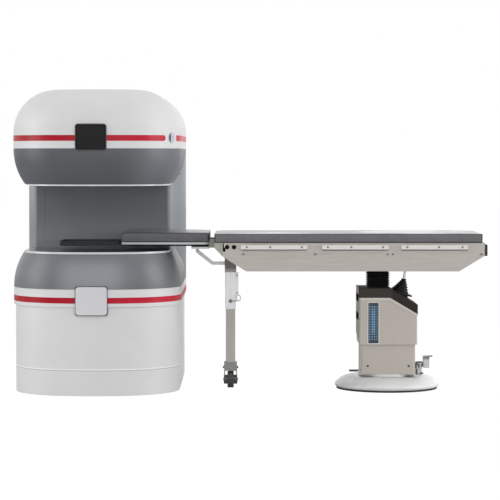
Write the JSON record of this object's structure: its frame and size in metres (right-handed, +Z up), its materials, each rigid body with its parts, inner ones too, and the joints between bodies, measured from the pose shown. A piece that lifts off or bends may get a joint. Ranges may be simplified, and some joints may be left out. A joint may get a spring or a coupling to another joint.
{
  "type": "open mri scanner with patient table",
  "caption": "Open C-shaped magnetic resonance scanner with a wide patient gap, and a swivelling, height-adjustable padded patient table docked to it.",
  "frame": {"origin": "on the floor, on the vertical axis through the magnet's poles", "axes": "+X from the magnet towards the table, +Y towards the magnet's column, +Z up"},
  "size_m": [2.921, 1.737, 1.862],
  "materials": {
    "cover_white": "satin white moulded cover",
    "shroud_grey": "satin mid grey moulded cover",
    "deck_pale": "pale satin plastic",
    "stripe_red": "glossy red band",
    "panel_dark": "dark grey panel",
    "display_black": "black display glass",
    "bezel_grey": "dark bezel",
    "port_pale": "pale recessed port",
    "lens_clear": "laser lens",
    "structure_steel": "painted welded steel",
    "magnet_iron": "low carbon iron",
    "coil_resin": "potted coil",
    "table_steel": "warm grey brushed sheet",
    "rail_steel": "bright rail",
    "bracket_steel": "darker steel bracket",
    "mattress_vinyl": "dark grey vinyl over foam",
    "tray_dark": "dark composite tray",
    "board_light": "light board frame",
    "collar_brown": "dark brown coated cap",
    "rubber_black": "black rubber",
    "leg_alloy": "anodised sleeve",
    "leg_beige": "beige leg tube",
    "base_white": "white domed base cover",
    "window_white": "white window frame",
    "lattice_blue": "blue lattice",
    "castor_grey": "castor tread and hubs",
    "pedal_steel": "plated pedal"
  },
  "bodies": {
    "scanner": {"support_frame": "structure_steel", "yoke_base_plate": "magnet_iron", "yoke_column": "magnet_iron", "yoke_top_plate": "magnet_iron", "magnet_stacks": "magnet_iron", "pole_shoes": "magnet_iron", "gradient_coils": "coil_resin", "plinth_cover": "cover_white", "lower_skirt": "cover_white", "lower_band": "cover_white", "stripes": "stripe_red", "lower_shroud": "shroud_grey", "lower_deck": "deck_pale", "service_plate": "cover_white", "column_covers": "shroud_grey", "gap_back_panel": "panel_dark", "upper_shroud": "shroud_grey", "upper_pole_cover": "deck_pale", "upper_cover": "cover_white", "display_bezel": "bezel_grey", "display_glass": "display_black", "laser_bezel": "port_pale", "laser_lens": "lens_clear", "base_plate": "structure_steel", "base_cover": "base_white", "base_skirt": "rubber_black", "swivel_bearing": "bracket_steel"},
    "pedestal": {"turntable": "bracket_steel", "guide_column": "structure_steel", "pedestal_lower_cover": "table_steel", "pedestal_upper_cover": "table_steel", "pedestal_collar": "collar_brown", "side_post": "rail_steel", "side_sockets": "rubber_black", "window_frame": "window_white", "window_lattice": "lattice_blue", "pedal_bracket": "bracket_steel"},
    "lift": {"lift_column": "structure_steel", "lift_bellows": "rubber_black", "actuator_tube": "structure_steel", "actuator_boot": "rubber_black"},
    "rod": {"tilt_rod": "rail_steel"},
    "top": {"table_frame": "table_steel", "tilt_bracket": "structure_steel", "end_bracket": "bracket_steel", "side_rails": "rail_steel", "mattress": "mattress_vinyl", "end_bumper": "rubber_black", "board_frame": "board_light", "board_tray": "tray_dark", "board_pad": "mattress_vinyl", "leg_head": "collar_brown", "leg_brace": "leg_alloy", "leg_sleeve": "leg_alloy"},
    "leg": {"leg_tube": "leg_beige", "castor_fork": "bracket_steel"},
    "wheel": {"castor_wheel": "castor_grey"},
    "clamp": {"clamp_lever": "rubber_black"},
    "pedal": {"brake_pedal": "pedal_steel"},
    "foot_lever": {"foot_bar": "rubber_black"}
  },
  "joints": [
    {"name": "table_swivel", "type": "hinge", "parent": "scanner", "child": "pedestal", "pos_m": [1.806, 0, 0.084], "axis": [0, 0, 1], "range_deg": [0, 90]},
    {"name": "table_height", "type": "slide", "parent": "pedestal", "child": "lift", "axis": [0, 0, 1], "range_m": [-0.02, 0.1], "deforming": ["lift_bellows", "actuator_boot"]},
    {"name": "table_tilt", "type": "hinge", "parent": "lift", "child": "top", "pos_m": [1.748, 0, 0.8], "axis": [0, 1, 0], "range_deg": [0, 4]},
    {"name": "tilt_rod_slide", "type": "slide", "parent": "lift", "child": "rod", "axis": [0.1521, 0, 0.9884], "range_m": [-0.015, 0]},
    {"name": "leg_extension", "type": "slide", "parent": "top", "child": "leg", "axis": [0, 0, -1], "range_m": [-0.02, 0.1]},
    {"name": "castor_spin", "type": "hinge", "parent": "leg", "child": "wheel", "pos_m": [0.825, 0, 0.052], "axis": [1, 0, 0], "continuous": true},
    {"name": "clamp_turn", "type": "hinge", "parent": "top", "child": "clamp", "pos_m": [0.825, -0.038, 0.547], "axis": [0, 1, 0], "range_deg": [0, 90]},
    {"name": "brake_pedal_press", "type": "hinge", "parent": "pedestal", "child": "pedal", "pos_m": [2, -0.11, 0.15], "axis": [0, 1, 0], "range_deg": [0, 12], "stiffness_Nm_per_rad": 6, "springref_deg": -6.88},
    {"name": "foot_lever_press", "type": "hinge", "parent": "pedestal", "child": "foot_lever", "pos_m": [1.6245, -0.12, 0.119], "axis": [0, -1, 0], "range_deg": [0, 8], "stiffness_Nm_per_rad": 2, "springref_deg": -6.88}
  ],
  "couplings": [
    {"joint": "tilt_rod_slide", "follows": "table_tilt", "m_per_rad": -0.182},
    {"joint": "leg_extension", "follows": "table_height", "ratio": 1}
  ]
}
